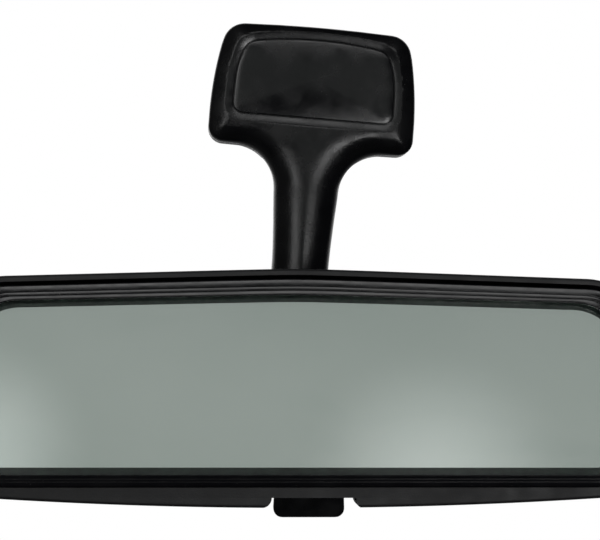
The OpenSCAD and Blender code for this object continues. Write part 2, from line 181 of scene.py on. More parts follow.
def base_outline():
    """The base and the arm, from the arm's tip round to the base's top."""
    tip_r, tip_z, arm_length, taper = 9.9, -102, 40, 0.2
    neck_r, neck_z, neck_length, widening = 10.1, -62, 24, 1.35
    arm = [(tip_r + taper * i / 16, tip_z + arm_length * i / 16) for i in range(17)]
    neck = [(neck_r + widening * (i / 9) ** 1.3, neck_z + neck_length * i / 9)
            for i in range(1, 10)]
    flare = arc(26.8, -36.9, 15.3, 178, 96)
    corner = arc(31.1, -16.1, 5.5, -84, 0)
    side = [(BASE_HALF_W - 3.6 * ((z + 12) / 30) ** 2, z) for z in np.linspace(-14, 13, 12)]
    shoulder = arc(25.8, 13.05, 8, 20, 84)
    top = [(12 * (1 - i / 8) + 2, BASE_HALF_H - 0.15 * (1 - i / 8)) for i in range(8)]
    return whole(arc(0, BALL.z, tip_r, -90, -8) + arm + neck + flare + corner + side + shoulder
                 + top + [(0, BASE_HALF_H)])


def cover_outline():
    """The cover, from its straight bottom edge round to its slightly crowned top edge."""
    low, top, low_r, top_r = -13.5, 18.7, 6, 8
    return whole([(3 * i, low) for i in range(8)]
                 + arc(24.7, low + low_r, low_r, -88, 0)
                 + [(30.68, -4), (30.6, -1), (30.45, 2), (30.1, 5), (29.6, 7.5)]
                 + arc(20.8, 9, top_r, 14, 80)
                 + [(x, top - 0.0035 * x * x) for x in (20, 17, 14, 11, 8, 5, 2.5)]
                 + [(0, top)])


def disc(radius, x=0.0, z=0.0, steps=64):
    """A circle that starts at its lowest point."""
    return np.array([(x + px, z + pz) for px, pz in arc(0, 0, radius, -90, 270, steps)[:-1]])


def soft_steps(value):
    """Smooth step from 0 to 1."""
    value = np.clip(value, 0, 1)
    return value * value * (3 - 2 * value)


def filleted(section, radius, steps=4):
    """An open polyline with its inner corners rounded."""
    section = [np.array(p, float) for p in section]
    points = [section[0]]
    for before, corner, after in zip(section, section[1:], section[2:]):
        to_before, to_after = before - corner, after - corner
        reach = min(radius, 0.45 * np.linalg.norm(to_before), 0.45 * np.linalg.norm(to_after))
        start = corner + to_before / np.linalg.norm(to_before) * reach
        end = corner + to_after / np.linalg.norm(to_after) * reach
        for i in range(steps + 1):
            t = i / steps
            points.append((1 - t) ** 2 * start + 2 * t * (1 - t) * corner + t * t * end)
    return points + [section[-1]]


# ---- Meshes ----

def ring(outline, y):
    """An outline standing upright at one depth, or at one depth for each point."""
    depths = np.broadcast_to(np.asarray(y, float), (len(outline),))
    return np.stack([outline[:, 0], depths, outline[:, 1]], 1)


def mesh_object(name, vertices, faces):
    """An object from its vertices and faces, with doubled vertices merged."""
    mesh = bpy.data.meshes.new(name)
    mesh.from_pydata([tuple(v) for v in vertices], [], faces)
    work = bmesh.new()
    work.from_mesh(mesh)
    bmesh.ops.remove_doubles(work, verts=work.verts, dist=1e-5)
    bmesh.ops.recalc_face_normals(work, faces=work.faces)
    work.to_mesh(mesh)
    work.free()
    thing = bpy.data.objects.new(name, mesh)
    bpy.context.scene.collection.objects.link(thing)
    return thing


def loft(name, rings, hollow=False):
    """A solid through rings, closed by strips across its ends, or joined last ring to first."""
    n, m = len(rings[0]), len(rings)
    faces = []
    for k in range(m if hollow else m - 1):
        for i in range(n):
            j, up = (i + 1) % n, (k + 1) % m
            faces.append((k * n + i, k * n + j, up * n + j, up * n + i))
    if not hollow:
        for first in (0, (m - 1) * n):
            strip = [(i, i + 1, n - i - 1, (n - i) % n) for i in range(n // 2)]
            faces += [[first + v for v in dict.fromkeys(face)] for face in strip]
    return mesh_object(name, np.concatenate(rings), faces)


def slab(name, outline, back, front):
    """An extrusion of an outline whose ends can be closed by strips from side to side."""
    return loft(name, [ring(outline, back), ring(outline, front)])


def prism(name, outline, back, front):
    """An extrusion of any outline, closed by one face at each end."""
    n = len(outline)
    faces = [(i, (i + 1) % n, (i + 1) % n + n, i + n) for i in range(n)]
    faces += [tuple(range(n)), tuple(range(2 * n - 1, n - 1, -1))]
    return mesh_object(name, np.concatenate([ring(outline, back), ring(outline, front)]), faces)


def rod(name, radius, back, front, x=0.0, z=0.0):
    """A cylinder along Y."""
    return slab(name, disc(radius, x, z), back, front)


def turned(name, section, x=0.0, z=0.0, hollow=False):
    """A solid of revolution about a line along Y, from its (radius, y) section."""
    return loft(name, [ring(disc(r, x, z, 72), y) for r, y in section], hollow)


def rod_x(name, radius, length, centre):
    """A cylinder along X."""
    bar = rod(name, radius, length / 2, -length / 2)
    bar.data.transform(Matrix.Translation(centre) @ Matrix.Rotation(math.pi / 2, 4, "Z"))
    return bar


def block(name, low, high):
    """A box between two opposite corners."""
    corners = np.array([(low[0], low[2]), (high[0], low[2]), (high[0], high[2]), (low[0], high[2])])
    return slab(name, corners, high[1], low[1])


def bake(thing):
    """Turns an object's modifiers into its mesh."""
    graph = bpy.context.evaluated_depsgraph_get()
    mesh = bpy.data.meshes.new_from_object(thing.evaluated_get(graph))
    thing.modifiers.clear()
    thing.data = mesh
    return thing


def combine(thing, others, operation="DIFFERENCE"):
    """Cuts other solids out of one, or joins them to it, one after another."""
    for other in others:
        step = thing.modifiers.new("step", "BOOLEAN")
        step.operation = operation
        step.solver = "MANIFOLD"
        step.object = other
    bake(thing)
    for other in others:
        bpy.data.objects.remove(other)
    return thing


def softened(thing, voxel, passes):
    """Gives a solid an even mesh and moulded, slightly round edges."""
    even = thing.modifiers.new("even", "REMESH")
    even.mode = "VOXEL"
    even.voxel_size = voxel
    smooth = thing.modifiers.new("smooth", "SMOOTH")
    smooth.factor = 0.5
    smooth.iterations = passes
    return bake(thing)


def bevelled(thing, width):
    """Rounds a solid's sharp edges off."""
    bevel = thing.modifiers.new("bevel", "BEVEL")
    bevel.width = width
    bevel.segments = 3
    bevel.limit_method = "ANGLE"
    bevel.angle_limit = math.radians(50)
    return bake(thing)


def finished(thing, place, body, nodes, material, sharp=35):
    """Sets a piece in the row frame, on its body, with its material."""
    thing.data.transform(place)
    thing.data.materials.clear()
    thing.data.materials.append(material)
    thing.data.polygons.foreach_set("use_smooth", [True] * len(thing.data.polygons))
    if sharp:
        thing.data.set_sharp_from_angle(angle=math.radians(sharp))
    thing.data.update()
    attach(thing, body)
    if nodes:
        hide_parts(*nodes)
    return thing


# ---- Materials ----

class Nodes:
    """A node tree whose nodes are added one by one, their inputs linked to a socket or set."""

    def __init__(self, tree):
        self.tree = tree

    def node(self, kind, inputs, output=0, **settings):
        made = self.tree.nodes.new(kind)
        for key, value in settings.items():
            setattr(made, key, value)
        for key, value in inputs.items():
            if isinstance(value, bpy.types.NodeSocket):
                self.tree.links.new(value, made.inputs[key])
            else:
                made.inputs[key].default_value = value
        return made.outputs[output]

    def remap(self, value, low, high, to_low=0.0, to_high=1.0):
        return self.node("ShaderNodeMapRange",
                         {"Value": value, "From Min": low, "From Max": high,
                          "To Min": to_low, "To Max": to_high}, interpolation_type="SMOOTHSTEP")

    def sums(self, operation, a, b=0.0):
        return self.node("ShaderNodeMath", {0: a, 1: b}, operation=operation)

    def mix(self, factor, a, b):
        return self.node("ShaderNodeMix", {0: factor, 6: a, 7: b}, output=2, data_type="RGBA")


class Surface(Nodes):
    """A material built round a principled shader."""

    def __init__(self, name, **values):
        self.material = bpy.data.materials.new(name)
        self.material.use_nodes = True
        super().__init__(self.material.node_tree)
        self.shader = self.tree.nodes["Principled BSDF"]
        self.where = self.tree.nodes.new("ShaderNodeTexCoord").outputs["Object"]
        for socket, value in values.items():
            self.shader.inputs[socket.replace("_", " ")].default_value = value

    def stretched(self, scale, turn=(0, 0, 0)):
        return self.node("ShaderNodeMapping",
                         {"Vector": self.where, "Scale": scale, "Rotation": turn})

    def noise(self, scale, detail=3.0, where=None):
        return self.node("ShaderNodeTexNoise",
                         {"Vector": where or self.where, "Scale": scale, "Detail": detail})

    def cells(self, scale, feature="F1"):
        return self.node("ShaderNodeTexVoronoi", {"Vector": self.where, "Scale": scale},
                         feature=feature)

    def edges(self):
        """1 on sharp outer edges."""
        return self.remap(self.node("ShaderNodeNewGeometry", {}, output="Pointiness"), 0.52, 0.62)

    def bump(self, height, depth, strength=1.0, below=None):
        inputs = {"Height": height, "Distance": depth, "Strength": strength}
        if below is not None:
            inputs["Normal"] = below
        return self.node("ShaderNodeBump", inputs)

    def set(self, **sockets):
        """Links values to the shader's inputs and gives the material back."""
        for name, value in sockets.items():
            self.tree.links.new(value, self.shader.inputs[name.replace("_", " ")])
        return self.material


def colour(red, green, blue):
    return (red, green, blue, 1.0)


def moulded_plastic(name, dark, light, roughness, grain, grain_depth, edge_wear_and_sheen=0.05):
    """Moulded black plastic: fine grain, uneven tone, sharp edges paler partly from rubbing and
    partly as a painted highlight, dust, hairline scratches.
    """
    s = Surface(name, IOR=1.49)
    tone = s.remap(s.noise(70, 4), 0.3, 0.7)
    body = s.mix(tone, dark, light)
    speck = s.remap(s.cells(420), 0.02, 0.07, 1.0, 0.0)
    speck = s.sums("MULTIPLY", speck, s.remap(s.noise(38, 2), 0.5, 0.68, 0.0, 0.7))
    body = s.mix(speck, body, colour(0.16, 0.16, 0.155))
    # Sharp edges made paler: partly rubbed wear, partly a painted highlight standing for light
    # caught on their rounding
    rubbed_and_lit_edges = s.sums("MULTIPLY", s.edges(), s.remap(s.noise(260, 3), 0.4, 0.65, 0.2, 1.0))
    body = s.mix(s.sums("MULTIPLY", rubbed_and_lit_edges, edge_wear_and_sheen), body, colour(0.3, 0.3, 0.31))
    scratch = s.noise(26, 2, s.stretched((1.0, 1.0, 34.0), (0.0, 0.9, 0.0)))
    off_middle = s.sums("ABSOLUTE", s.sums("SUBTRACT", scratch, 0.5))
    scratch = s.remap(off_middle, 0.0, 0.004, 1.0, 0.0)
    scratch = s.sums("MULTIPLY", scratch, s.remap(s.noise(45, 1), 0.55, 0.7))
    uneven = s.remap(s.noise(120, 4), 0.3, 0.7, roughness - 0.06, roughness + 0.07)
    uneven = s.sums("SUBTRACT", uneven, s.sums("MULTIPLY", scratch, 0.12))
    fine = s.sums("ADD", s.cells(grain, "SMOOTH_F1"), s.noise(grain * 2.2, 2))
    normal = s.bump(fine, grain_depth, 0.9)
    normal = s.bump(s.noise(420, 2), 0.00001, 0.5, normal)
    normal = s.bump(scratch, 0.00001, 0.4, normal)
    return s.set(Base_Color=body, Roughness=uneven, Normal=normal)


def glossy_plastic(name):
    """Glossy black plastic with faint dust and flow lines."""
    s = Surface(name, IOR=1.5)
    body = s.mix(s.remap(s.noise(90, 4), 0.3, 0.7),
                 colour(0.004, 0.004, 0.005), colour(0.009, 0.009, 0.01))
    dust = s.remap(s.cells(900), 0.03, 0.1, 1.0, 0.0)
    dust = s.sums("MULTIPLY", dust, s.remap(s.noise(60, 2), 0.48, 0.62, 0.0, 0.8))
    body = s.mix(dust, body, colour(0.2, 0.2, 0.19))
    rough = s.remap(s.noise(160, 4), 0.3, 0.7, 0.13, 0.22)
    rough = s.sums("ADD", rough, s.sums("MULTIPLY", dust, 0.4))
    flow = s.noise(40, 3, s.stretched((0.2, 1.0, 5.0)))
    normal = s.bump(flow, 0.00002, 0.25, s.bump(s.noise(1500, 2), 0.000004, 0.4))
    return s.set(Base_Color=body, Roughness=rough, Normal=normal)


def brushed_metal(name, dark, light, roughness, lines=(1.0, 1.0, 1.0), spots=0.0):
    """Metal with an uneven tone, tool lines along the direction that isn't stretched, and spots."""
    s = Surface(name, Metallic=1.0)
    body = s.mix(s.remap(s.noise(180, 4), 0.3, 0.7), dark, light)
    stained = s.remap(s.noise(420, 4), 0.56, 0.7, 0.0, spots)
    body = s.mix(stained, body, colour(0.13, 0.11, 0.085))
    drawn = s.noise(900, 3, s.stretched(lines))
    rough = s.sums("ADD", s.remap(drawn, 0.3, 0.7, roughness - 0.06, roughness + 0.08),
                   s.sums("MULTIPLY", stained, 0.3))
    normal = s.bump(drawn, 0.000012, 0.5, s.bump(s.noise(500, 2), 0.00002, 0.3))
    return s.set(Base_Color=body, Roughness=rough, Normal=normal)


def nylon(name, dark, light):
    """Natural or filled nylon, slightly translucent and waxy."""
    s = Surface(name, IOR=1.53, Subsurface_Weight=0.15, Subsurface_Scale=0.0006)
    body = s.mix(s.remap(s.noise(240, 4), 0.3, 0.7), dark, light)
    grease = s.remap(s.noise(130, 3), 0.55, 0.68)
    rough = s.sums("SUBTRACT", s.remap(s.noise(700, 3), 0.3, 0.7, 0.42, 0.56),
                   s.sums("MULTIPLY", grease, 0.22))
    return s.set(Base_Color=body, Roughness=rough, Normal=s.bump(s.noise(1700, 2), 0.00001, 0.5))


def foam(name):
    """Open-celled foam."""
    s = Surface(name, IOR=1.4)
    pores = s.cells(2200)
    body = s.mix(s.remap(pores, 0.1, 0.5), colour(0.012, 0.012, 0.013), colour(0.06, 0.06, 0.064))
    rough = s.remap(pores, 0.1, 0.5, 0.95, 0.82)
    return s.set(Base_Color=body, Roughness=rough, Normal=s.bump(pores, 0.00025, 0.9))


def clear_glass(name):
    """Slightly green glass with a few faint smears and specks of dirt."""
    s = Surface(name, IOR=1.52, Transmission_Weight=1.0)
    smear = s.remap(s.noise(24, 3, s.stretched((0.6, 1.0, 1.6))), 0.56, 0.75)
    dirt = s.remap(s.cells(260), 0.012, 0.03, 1.0, 0.0)
    dirt = s.sums("MULTIPLY", dirt, s.remap(s.noise(30, 1), 0.56, 0.62))
    tint = s.mix(smear, colour(0.955, 0.985, 0.965), colour(0.93, 0.965, 0.945))
    rough = s.sums("ADD", s.sums("MULTIPLY", smear, 0.012), s.sums("MULTIPLY", dirt, 0.5))
    return s.set(Base_Color=s.mix(dirt, tint, colour(0.1, 0.1, 0.1)), Roughness=rough)


def silvering(name):
    """The mirror film, a little patchy towards its edge."""
    s = Surface(name, Metallic=1.0)
    body = s.mix(s.remap(s.noise(14, 2), 0.3, 0.7),
                 colour(0.80, 0.825, 0.815), colour(0.84, 0.855, 0.85))
    rough = s.remap(s.noise(40, 3), 0.3, 0.7, 0.008, 0.02)
    return s.set(Base_Color=body, Roughness=rough)


def backing_paint(name):
    """Dark green protective paint on the glass's back, with pale flecks that are partly dust and
    partly painted glints.
    """
    s = Surface(name, IOR=1.45)
    body = s.mix(s.remap(s.noise(500, 4), 0.35, 0.7),
                 colour(0.003, 0.011, 0.007), colour(0.012, 0.026, 0.019))
    # Pale flecks, seen through the glass's clear border: partly dust, partly painted glints along
    # the glass's edge
    dust_and_glint_flecks = s.remap(s.cells(1300), 0.05, 0.14, 1.0, 0.0)
    dust_and_glint_flecks = s.sums("MULTIPLY", dust_and_glint_flecks, s.remap(s.noise(36, 2), 0.52, 0.66, 0.0, 0.8))
    body = s.mix(dust_and_glint_flecks, body, colour(0.22, 0.26, 0.24))
    rough = s.remap(s.noise(300, 3), 0.3, 0.7, 0.5, 0.7)
    return s.set(Base_Color=body, Roughness=rough, Normal=s.bump(s.noise(1200, 3), 0.00002, 0.6))


# ---- Base and arm ----

def crowned(rings):
    """Draws the front of the base back towards its two sides."""
    for points in rings:
        front = soft_steps((-points[:, 1] - 4) / 8) * soft_steps((points[:, 2] + 34) / 14)
        points[:, 1] += BASE_CROWN * front * (points[:, 0] / BASE_HALF_W) ** 2
    return rings


def edge_distance(points, outline):
    """Distance from each point to a closed outline."""
    along = np.roll(outline, -1, axis=0) - outline
    length = np.maximum((along ** 2).sum(axis=1), 1e-9)
    gap = points[:, None] - outline[None]
    share = np.clip((gap * along).sum(axis=2) / length, 0, 1)
    return np.linalg.norm(gap - share[..., None] * along, axis=2).min(axis=1)


def rounded_off(distance, reach, drop):
    """How far an elliptical edge falls back at a distance from its outline."""
    return drop * (1 - np.sqrt(1 - np.clip(1 - distance / reach, 0, 1) ** 2))


def base_front(points, outline):
    """A ring on the front: a flange that slopes away from the cover, and below it a rounded arm."""
    distance = edge_distance(points, outline)
    flange = (FLANGE_DROP * np.clip(1 - distance / FLANGE_W, 0, 1) ** 1.4
              + rounded_off(distance, EDGE_ROUND, EDGE_ROUND))
    arm = rounded_off(distance, ARM_ROUND, ARM_DROP)
    arm_share = soft_steps((-12 - points[:, 1]) / 13) * soft_steps((36 - np.abs(points[:, 0])) / 16)
    back = flange + (arm - flange) * arm_share
    return np.column_stack((points[:, 0], back - BASE_DEPTH, points[:, 1]))


def build_base_arm():
    """The base and arm: rings forward from the mounting face, then inwards over the front."""
    outline = base_outline()
    insets = list(EDGE_ROUND * (1 - np.cos(np.radians(np.linspace(0, 90, 9)))))
    insets += list(np.linspace(EDGE_ROUND, 4.5, 7)[1:])
    steps = [shifted(outline, inset) for inset in insets]
    steps += [steps[-1] * (1 - share, 1) for share in np.linspace(0, 0.97, 30)[1:]]
    rings = [ring(shifted(outline, 0.7), 0), ring(shifted(outline, 0.2), -0.5), ring(outline, -1.2)]
    rings += [base_front(step, outline) for step in steps]
    arm = loft("base_and_arm", crowned(rings))
    play, stud_hole_r, nut_room = 0.2, 3.05, 4.3
    half_w, half_h = PLATE_W / 2, PLATE_H / 2
    behind_arm = block("cut", (-25, ARM_BACK, BALL.z - 20), (25, 7, -BASE_HALF_H - 4))
    cover_seat = slab("cut", cover_outline(), SEAT_Y, -BASE_DEPTH - 1)
    plate_seat = block("cut", (-half_w - play, -PLATE_T - play / 2, PLATE_Z - half_h - play),
                       (half_w + play, 1, PLATE_Z + half_h + play))
    stud_hole = rod("cut", stud_hole_r, ARM_BACK + 1, -BASE_DEPTH - 1, z=BALL.z)
    cap_seat = rod("cut", CAP_R, ARM_BACK + 1, ARM_BACK - CAP_T - nut_room, z=BALL.z)
    cuts = [behind_arm, cover_seat, plate_seat, stud_hole, cap_seat]
    cuts += [block("cut", (-4, SEAT_Y - 0.5, z - 1), (4, SEAT_Y + 5, z + 1)) for z in CLIP_HEIGHTS]
    for x in (-SCREW_X, SCREW_X):
        cuts += [rod("cut", WELL_R, -SLEEVE_LEN, -BASE_DEPTH, x),
                 rod("cut", SLEEVE_R, 1, -BASE_DEPTH, x)]
    softened(combine(arm, cuts), 0.5, 4)
    finished(arm, ROW, "base", ["base_arm"], GRAINED, sharp=0)


def build_cover():
    """The cover: a rim that slopes inwards, a narrow groove, and a crowned face."""
    outline = cover_outline()
    rim_y, groove_y, edge_y, top_y = -15, -14.05, -14.5, -15.5
    section = filleted([(0, SEAT_Y), (0, rim_y + 2),
                        (RIM_OVERLAP, rim_y + 1.9), (RIM_OVERLAP, rim_y), (1.8, rim_y + 0.55),
                        (1.85, groove_y), (2.1, groove_y),
                        (2.2, edge_y), (3.0, edge_y - 0.12), (3.7, edge_y - 0.22)], 0.15)
    rings = [ring(shifted(outline, COVER_GAP + inset), y) for inset, y in section]
    last, middle = rings[-1], np.array([0, 0, 2.6])
    for share in np.linspace(0, 0.98, 16)[1:]:
        step = last * (1 - share) + middle * share
        step[:, 1] = top_y + (last[:, 1] - top_y) * (1 - share) ** 2
        rings.append(step)
    cover = loft("screw_cover_face", crowned(rings))
    clips = [block("clip", (-3.6, SEAT_Y - 0.4, z - 0.7), (3.6, SEAT_Y + 4, z + 0.7))
             for z in CLIP_HEIGHTS]
    combine(cover, clips, "UNION")
    finished(cover, ROW, "base", ["screw_cover"], COVER_PLASTIC, sharp=50)


def build_plate():
    """The steel plate behind the base and the two sleeves that the screws clamp."""
    corner_r, hole_r = 3, 2.75
    half_w, half_h = PLATE_W / 2, PLATE_H / 2
    x, z = half_w - corner_r, half_h - corner_r
    right_half = ([(0, PLATE_Z - half_h)] + arc(x, PLATE_Z - z, corner_r, -90, 0, 8)
                  + arc(x, PLATE_Z + z, corner_r, 0, 90, 8) + [(0, PLATE_Z + half_h)])
    plate = slab("steel_plate", whole(right_half), 0, -PLATE_T)
    combine(plate, [rod("cut", SLEEVE_R + 0.05, 1, -PLATE_T - 1, x) for x in (-SCREW_X, SCREW_X)])
    bevelled(plate, 0.25)
    finished(plate, ROW, "base", ["base_plate"], ZINC)
    section = filleted([(hole_r, -0.6), (hole_r, 0), (SLEEVE_R, 0), (SLEEVE_R, -SLEEVE_LEN),
                        (hole_r, -SLEEVE_LEN), (hole_r, -0.7)], 0.4)
    sleeves = [turned("sleeves", section, x, hollow=True) for x in (-SCREW_X, SCREW_X)]
    pair = combine(sleeves[0], sleeves[1:], "UNION")
    pair.name = "screw_sleeve_pair"
    finished(pair, ROW, "base", ["screw_sleeves"], ZINC)


def build_stud():
    """The ball stud, turned from one bar, and the plug that hides its nut."""
    ball_r, shank_r, flange_r, thread_r = 6, 2.8, 6, 3
    arm_front, flange_y = -BASE_DEPTH, -BASE_DEPTH - 1.5
    stud_end = ARM_BACK - CAP_T - 0.4
    globe = [(ball_r * math.sin(a), BALL.y - ball_r * math.cos(a))
             for a in np.radians(np.linspace(2, 150, 34))]
    neck = filleted([globe[-1], (shank_r, BALL.y + 6.6), (shank_r, flange_y),
                     (flange_r, flange_y), (flange_r, arm_front), (thread_r, arm_front),
                     (thread_r, stud_end - 0.5), (thread_r - 0.4, stud_end)], 0.35)
    stud = turned("ball_and_stem", globe + neck[1:], z=BALL.z)
    finished(stud, ROW, "base", ["ball_stud"], STUD_STEEL)
    r = CAP_R - 0.1
    face = [(r * s, ARM_BACK - 0.35 * s * s) for s in np.linspace(0.03, 0.9, 10)]
    side = filleted([face[-1], (r, ARM_BACK - 0.45), (r, ARM_BACK - CAP_T),
                     (r - 0.4, ARM_BACK - CAP_T)], 0.25)
    plug = turned("stem_plug", face + side[1:], z=BALL.z)
    finished(plug, ROW, "base", ["stud_cap"], COVER_PLASTIC)


# ---- Head ----

def dome(y, back):
    """How far the housing's outline is drawn in at depth y."""
    u = max(0.0, (y - DOME_START) / (back - DOME_START))
    return DOME_IN * (1 - math.sqrt(max(0.0, 1 - u * u)))


def dome_rings(inset, back, steps):
    """Rings of the housing's round back, from its flat middle to where its sides begin."""
    depths = [DOME_START + (back - DOME_START) * math.sin(a)
              for a in np.radians(np.linspace(90, 0, steps))]
    return [ring(housing_outline(dome(y, back) + inset), y) for y in depths]


def prism_back(z):
    """Depth of the glass's back at height z."""
    low, high = -GLASS_LOW - CLEAR - LIP, GLASS_TOP + CLEAR + LIP
    return GLASS_FRONT + PRISM_THIN + (PRISM_THICK - PRISM_THIN) * (z - low) / (high - low)


def notch_outline():
    """The notch in the housing's skirt, in which the lever's tab hangs."""
    left, right, below = LEVER_X - NOTCH_W / 2, LEVER_X + NOTCH_W / 2, -46
    return np.array([(left - 1.2, below), (right + 2, below)]
                    + arc(right + 2, SKIRT_LOW + 2, 2, -90, -180, 8)
                    + arc(right - 0.8, NOTCH_TOP - 0.8, 0.8, 0, 90, 4)
                    + [(left + 2.3, NOTCH_TOP)]
                    + arc(left - 1.2, SKIRT_LOW + 3.4, 3.4, 0, -90, 10))


def housing_ribs():
    """Posts behind the glass, bearings of the pivot and lever pins, and the boss of the spring."""
    inside = HEAD_BACK - WALL + 0.4
    pivot_x, pivot_r = 28, 3.4
    bearing_x, bearing_r, bearing_w, bearing_low = 17.4, 3.2, 3.4, -38.4
    ribs = [turned("rib", [(3.4, inside), (3, inside - 3), (3, prism_back(z) + 2)], x, z)
            for x in (-POST_X, POST_X) for z in (-POST_Z, POST_Z)]
    for x in (-pivot_x, pivot_x):
        ribs += [rod_x("rib", pivot_r, 4, (x, PIVOT_Y, PIVOT_Z)),
                 block("rib", (x - 2, PIVOT_Y, PIVOT_Z - pivot_r),
                       (x + 2, PIVOT_Y + 14.9, PIVOT_Z + pivot_r))]
    for x in (LEVER_X - bearing_x, LEVER_X + bearing_x):
        ribs += [rod_x("rib", bearing_r, bearing_w, (x, LEVER_Y, LEVER_Z)),
                 block("rib", (x - bearing_w / 2, LEVER_Y - bearing_r, bearing_low),
                       (x + bearing_w / 2, LEVER_Y + bearing_r, LEVER_Z))]
    ribs.append(rod("rib", 2.4, HEAD_BACK - WALL + 0.3, SPRING_Y + 0.45, SPRING_X, SPRING_Z))
    return ribs


def build_housing():
    """The shell with its ribs, the notch for the lever, the mouth round the stud and pin holes."""
    quarter = np.radians(np.linspace(0, 90, 7))
    rim = [ring(housing_outline(RIM_ROUND * (1 - math.cos(a))),
                RIM_FRONT + RIM_ROUND * (1 - math.sin(a))) for a in quarter]
    shell = loft("housing_shell", dome_rings(0, HEAD_BACK, 26) + rim)
    inner = dome_rings(WALL, HEAD_BACK - WALL, 14) + [ring(housing_outline(WALL), RIM_FRONT + 2.2)]
    combine(shell, [loft("cut", inner),
                    slab("cut", opening_outline(), RIM_FRONT + 3, RIM_FRONT - 1)])
    for rib in housing_ribs():
        combine(shell, [rib], "UNION")
    mouth = [ring(disc(MOUTH_R + MOUTH_ROUND * (1 - math.cos(a)), steps=96),
                  HEAD_BACK - MOUTH_ROUND * (1 - math.sin(a)))
             for a in np.radians(np.linspace(0, 90, 6))]
    mouth = ([ring(disc(MOUTH_R, steps=96), -1)] + mouth
             + [ring(disc(MOUTH_R + MOUTH_ROUND, steps=96), HEAD_BACK + 2)])
    pivot_hole_r, lever_hole_r, screw_hole_r = 1.5, 1.2, 0.9
    combine(shell, [loft("cut", mouth), prism("cut", notch_outline(), -2.5, RIM_FRONT - 1),
                    rod_x("cut", pivot_hole_r, 64, (0, PIVOT_Y, PIVOT_Z)),
                    rod_x("cut", lever_hole_r, 44, (LEVER_X, LEVER_Y, LEVER_Z)),
                    rod("cut", screw_hole_r, 0, -10, SPRING_X, SPRING_Z)])
    finished(shell, HEAD, "head", ["rear_housing"], HOUSING_PLASTIC, sharp=40)


def build_bezel():
    """A sloping frame: its section runs from the outer edge over two grooves to the opening."""
    outer, opening = bezel_outline(), glass_outline(-CLEAR)
    pocket_side = 0.3 + LIP
    pocket = glass_outline(-CLEAR - LIP - 0.3)
    width, face_y, lip_y = 5.5, -22.2, -22.3
    inner = width + pocket_side
    section = filleted([(0, BEZEL_BACK), (0, face_y), (0.35, -22.62), (2.25, -23.1),
                        (2.4, -23.03), (2.62, -23.2), (3.6, -23.46), (3.75, -23.39),
                        (3.97, -23.56), (4.85, -23.82), (5.2, -23.96), (width, -23.7),
                        (width, lip_y), (inner, lip_y), (inner, BEZEL_BACK)], 0.14)
    rings = []
    for s, y in section:
        if s <= width:
            line = outer + (opening - outer) * s / width
        else:
            line = opening + (pocket - opening) * (s - width) / pocket_side
        rings.append(ring(line, y))
    bezel = loft("front_bezel", rings, hollow=True)
    finished(bezel, HEAD, "head", ["bezel"], GLOSS_PLASTIC, sharp=60)


def build_glass():
    """The prism with a ground edge, the film on its back, and the paint behind the film."""
    edge = glass_outline(-CLEAR - LIP)
    chamfer = 0.35
    within = shifted(edge, chamfer)
    glass = loft("mirror_glass", [ring(within, prism_back(within[:, 1])),
                                  ring(edge, prism_back(edge[:, 1]) - chamfer),
                                  ring(edge, GLASS_FRONT + chamfer), ring(within, GLASS_FRONT)])
    finished(glass, HEAD, "head", ["prism_glass"], GLASS, sharp=20)
    film_line = glass_outline()
    film = loft("mirror_film", [ring(film_line, prism_back(film_line[:, 1]) + gap)
                                for gap in (0.1, 0.02)])
    finished(film, HEAD, "head", ["silver_backing"], SILVER, sharp=20)
    paint_line = glass_outline(-CLEAR - LIP + 0.3)
    paint = loft("backing_paint", [ring(paint_line, prism_back(paint_line[:, 1]) + gap)
                                   for gap in (0.26, 0.12)])
    finished(paint, HEAD, "head", [], PAINT, sharp=20)


def build_lever():
    """The day and night lever: hub, rounded tab, and fork."""
    hub_r, hub_w, bore_r = 3.2, 30, 1.25
    tab_half, tip, thick, corner_r, taper = 12, -12.9, 3, 3.2, 0.5
    slot_half, prong, fork_half, fork_top, slot_low = 1.25, 1.6, 3.6, 10.2, 6.4
    corner_x, corner_z = tab_half - corner_r, tip + corner_r
    tab_line = np.array([(-tab_half + taper, 0)] + arc(-corner_x, corner_z, corner_r, 180, 270, 8)
                        + [(0, tip)] + arc(corner_x, corner_z, corner_r, 270, 360, 8)
                        + [(tab_half - taper, 0)])
    lever = rod_x("lever_tab", hub_r, hub_w, (0, 0, 0))
    combine(lever, [prism("tab", tab_line, thick / 2, -thick / 2),
                    block("fork", (-fork_half, -slot_half - prong, 0),
                          (fork_half, slot_half + prong, fork_top))], "UNION")
    combine(lever, [rod_x("cut", bore_r, hub_w + 2, (0, 0, 0)),
                    block("cut", (-5, -slot_half, slot_low), (5, slot_half, slot_low + 5))])
    softened(lever, 0.3, 4)
    lever.data.transform(Matrix.Translation((LEVER_X, LEVER_Y, LEVER_Z))
                         @ Matrix.Rotation(LEVER_TILT, 4, "X"))
    finished(lever, HEAD, "lever", ["day_night_lever"], LEVER_PLASTIC, sharp=0)


# ---- Camera, lights and floor ----

def add_camera():
    """A long lens a little below the mirror, to its left, and rolled."""
    distance = 0.65
    yaw, pitch, roll = math.radians(2.99), math.radians(-2.24), math.radians(4.41)
    target = Vector((-2.5, -56, -66.8)) * MM
    forward = Vector((math.sin(yaw) * math.cos(pitch), math.cos(yaw) * math.cos(pitch),
                      -math.sin(pitch)))
    level = Vector((math.cos(yaw), -math.sin(yaw), 0))
    upward = level.cross(forward)
    right = math.cos(roll) * level + math.sin(roll) * upward
    up = right.cross(forward)
    lens = bpy.data.cameras.new("camera")
    lens.lens = 117.6
    lens.sensor_width = 36
    lens.clip_start = 0.01
    camera = bpy.data.objects.new("camera", lens)
    axes = Matrix((right, up, -forward)).transposed().to_4x4()
    camera.matrix_world = Matrix.Translation(target - distance * forward) @ axes
    bpy.context.scene.collection.objects.link(camera)
    bpy.context.scene.camera = camera


